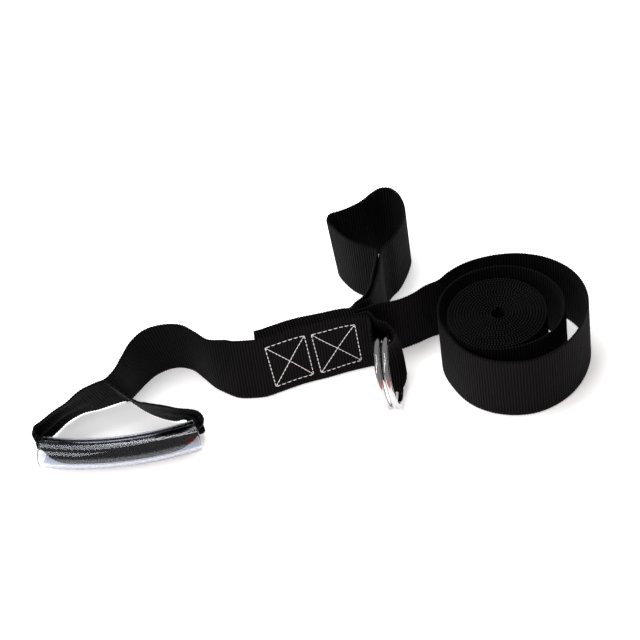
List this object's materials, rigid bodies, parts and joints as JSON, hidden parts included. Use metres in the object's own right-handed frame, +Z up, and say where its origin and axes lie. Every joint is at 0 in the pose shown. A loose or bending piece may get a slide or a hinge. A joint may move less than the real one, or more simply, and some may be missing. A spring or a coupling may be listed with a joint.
{
  "type": "webbing exercise strap with tube grip",
  "caption": "Black webbing exercise strap with a clear tube grip, twin steel rings on a sewn junction, a teardrop back loop and a long coiled tail.",
  "frame": {"origin": "centre of the footprint on the surface that the strap stands on", "axes": "+X along the strap from the grip to the coil, +Y towards the back loop, +Z up, across the standing webbing"},
  "size_m": [0.3804, 0.1887, 0.0514],
  "materials": {
    "webbing": "ribbed black polypropylene webbing, matt",
    "thread": "white bonded sewing thread",
    "clear_vinyl": "clear glossy vinyl tube",
    "ring_steel": "bright plated welded steel wire"
  },
  "bodies": {
    "junction": {"strap_panel": "webbing", "ring_bight": "webbing", "long_strap_end": "webbing", "loop_end_left": "webbing", "loop_end_right": "webbing", "box_stitch_left": "thread", "box_stitch_right": "thread"},
    "wave": {"strap_wave": "webbing"},
    "handle": {"handle_left_leg": "webbing", "handle_right_leg": "webbing", "grip_webbing": "webbing"},
    "grip": {"grip_tube": "clear_vinyl"},
    "ring_one": {"ring_left": "ring_steel"},
    "ring_two": {"ring_right": "ring_steel"},
    "back_loop": {"loop_left_wall": "webbing", "loop_back_wall": "webbing", "loop_right_wall": "webbing"},
    "coil": {"long_strap_run": "webbing", "coil_outer_turn": "webbing", "coil_inner_turn": "webbing", "coil_roll": "webbing"}
  },
  "joints": [
    {"name": "strap_fold", "type": "hinge", "parent": "junction", "child": "wave", "pos_m": [-0.04867, -0.03733, 0], "axis": [0, 0, 1], "range_deg": [-10, 10]},
    {"name": "handle_fold", "type": "hinge", "parent": "wave", "child": "handle", "pos_m": [-0.12017, -0.02473, 0], "axis": [0, 0, 1], "range_deg": [-8, 8]},
    {"name": "grip_slide", "type": "hinge", "parent": "handle", "child": "grip", "pos_m": [-0.11717, 0.10747, 0.0103], "axis": [0, 0, 1], "range_deg": [-0.5, 0.5]},
    {"name": "ring_left_swing", "type": "hinge", "parent": "junction", "child": "ring_one", "pos_m": [0.05442, -0.03758, 0.02526], "axis": [0, 0, 1], "range_deg": [-5, 0]},
    {"name": "ring_right_swing", "type": "hinge", "parent": "junction", "child": "ring_two", "pos_m": [0.0597, -0.03838, 0.02605], "axis": [0, 0, 1], "range_deg": [0, 5]},
    {"name": "loop_fold", "type": "hinge", "parent": "junction", "child": "back_loop", "pos_m": [0.05253, -0.00153, 0], "axis": [0, 0, 1], "range_deg": [-8, 8]},
    {"name": "coil_swing", "type": "hinge", "parent": "junction", "child": "coil", "pos_m": [0.07063, -0.01553, 0], "axis": [0, 0, 1], "range_deg": [-8, 8]}
  ]
}
